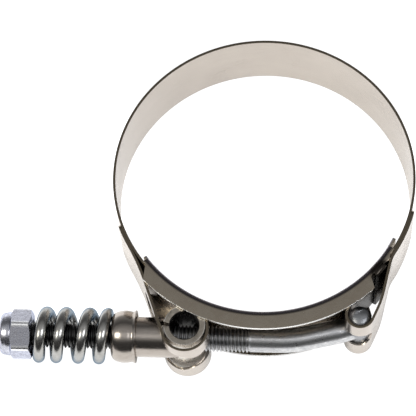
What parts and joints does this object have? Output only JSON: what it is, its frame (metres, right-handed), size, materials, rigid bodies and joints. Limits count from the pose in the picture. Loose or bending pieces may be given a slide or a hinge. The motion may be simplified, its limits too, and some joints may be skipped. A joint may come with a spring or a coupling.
{
  "type": "spring-loaded t-bolt hose clamp",
  "caption": "Band clamp with a spring-loaded T-bolt for a charge-air hose: folded steel band, bridge channel, trunnion with sleeve and cup, coil spring and lock nut.",
  "frame": {"origin": "centre of the clamped bore, half-way across the band's width", "axes": "+Z is the bore's axis; +X runs along the T-bolt from its nut towards its T-head; the bolt lies on the -Y side"},
  "size_m": [0.1006, 0.0836, 0.0208],
  "materials": {
    "stainless_strip": "bright cold-rolled stainless strip",
    "stainless_pressing": "satin stainless pressing",
    "plated_tube": "drawn bright steel",
    "zinc_wire": "clear zinc plate on spring wire",
    "zinc_bolt": "clear zinc plate",
    "nylon": "natural nylon"
  },
  "bodies": {
    "band_body": {"band": "stainless_strip", "bridge": "stainless_pressing"},
    "bolt_body": {"t_bolt": "zinc_bolt", "trunnion_barrel": "stainless_pressing", "trunnion_sleeve": "plated_tube", "spring_cup": "plated_tube"},
    "spring_body": {"spring": "zinc_wire"},
    "nut_body": {"lock_nut": "zinc_bolt", "nylon_insert": "nylon"}
  },
  "joints": [
    {"name": "bolt_pivot", "type": "hinge", "parent": "band_body", "child": "bolt_body", "pos_m": [0.02413, -0.03545, 0], "axis": [0, 0, 1], "range_deg": [0, 0.9]},
    {"name": "nut_travel", "type": "slide", "parent": "bolt_body", "child": "spring_body", "axis": [1, 0, 0], "range_m": [0, 0.0045], "deforming": ["spring"]},
    {"name": "nut_spin", "type": "hinge", "parent": "spring_body", "child": "nut_body", "pos_m": [-0.0585, -0.0394, 0], "axis": [1, 0, 0], "range_deg": [0, 1800]}
  ],
  "couplings": [
    {"joint": "nut_spin", "follows": "nut_travel", "rad_per_m": 6927.4}
  ]
}
